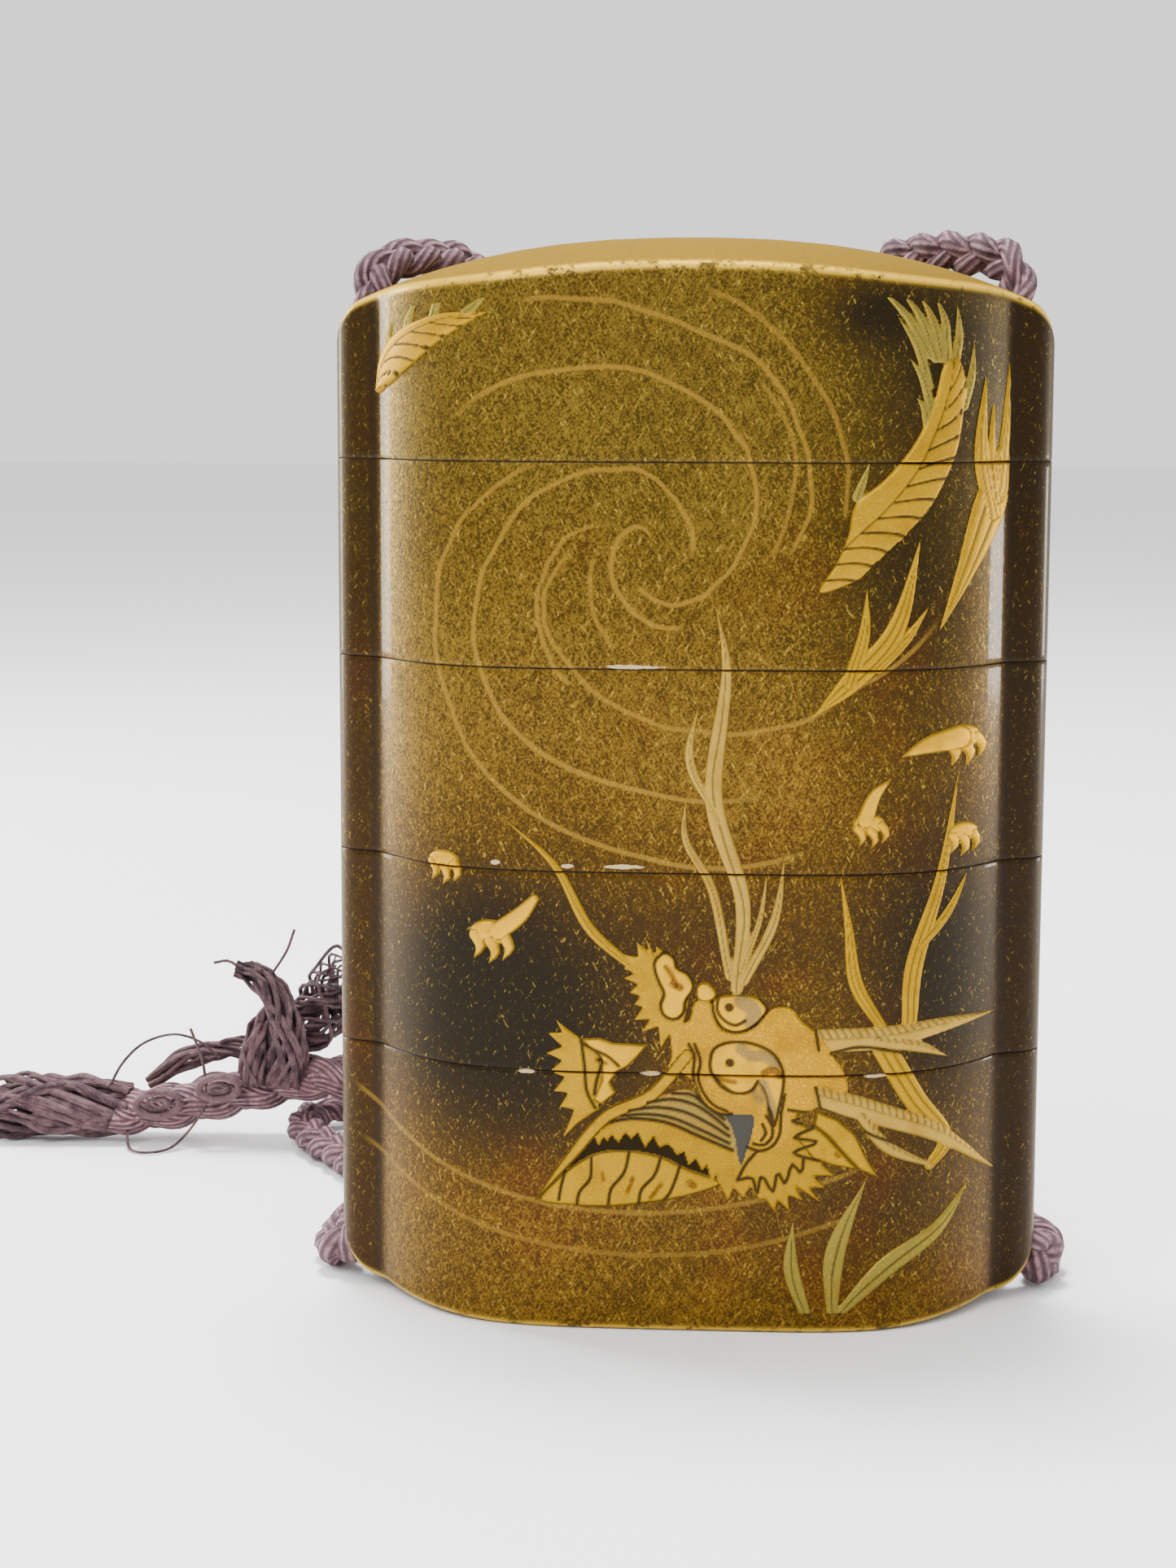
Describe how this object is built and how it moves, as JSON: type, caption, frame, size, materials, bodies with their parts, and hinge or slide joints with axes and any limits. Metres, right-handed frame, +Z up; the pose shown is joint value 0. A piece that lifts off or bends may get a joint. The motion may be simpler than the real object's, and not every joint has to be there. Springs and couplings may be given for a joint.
{
  "type": "inro case",
  "caption": "Upright oval lacquered case: a domed lid over stacked trays, raised dragon figures on the faces, and a braided cord through a runner at each end.",
  "frame": {"origin": "middle of the flat underside, on the surface the case stands on", "axes": "+X to the right of the front face, +Y to the back, +Z up"},
  "size_m": [0.111, 0.0699, 0.0907],
  "materials": {
    "lacquer": "gold lacquer, worn gloss",
    "silk": "braided silk"
  },
  "bodies": {
    "root": {"lid": "lacquer", "case_1": "lacquer", "case_2": "lacquer", "case_3": "lacquer", "case_4": "lacquer", "cord": "silk", "cord_knot": "silk", "cord_tail": "silk", "tail_tassel": "silk", "tail_tuft": "silk", "loose_bundle": "silk"}
  },
  "joints": []
}
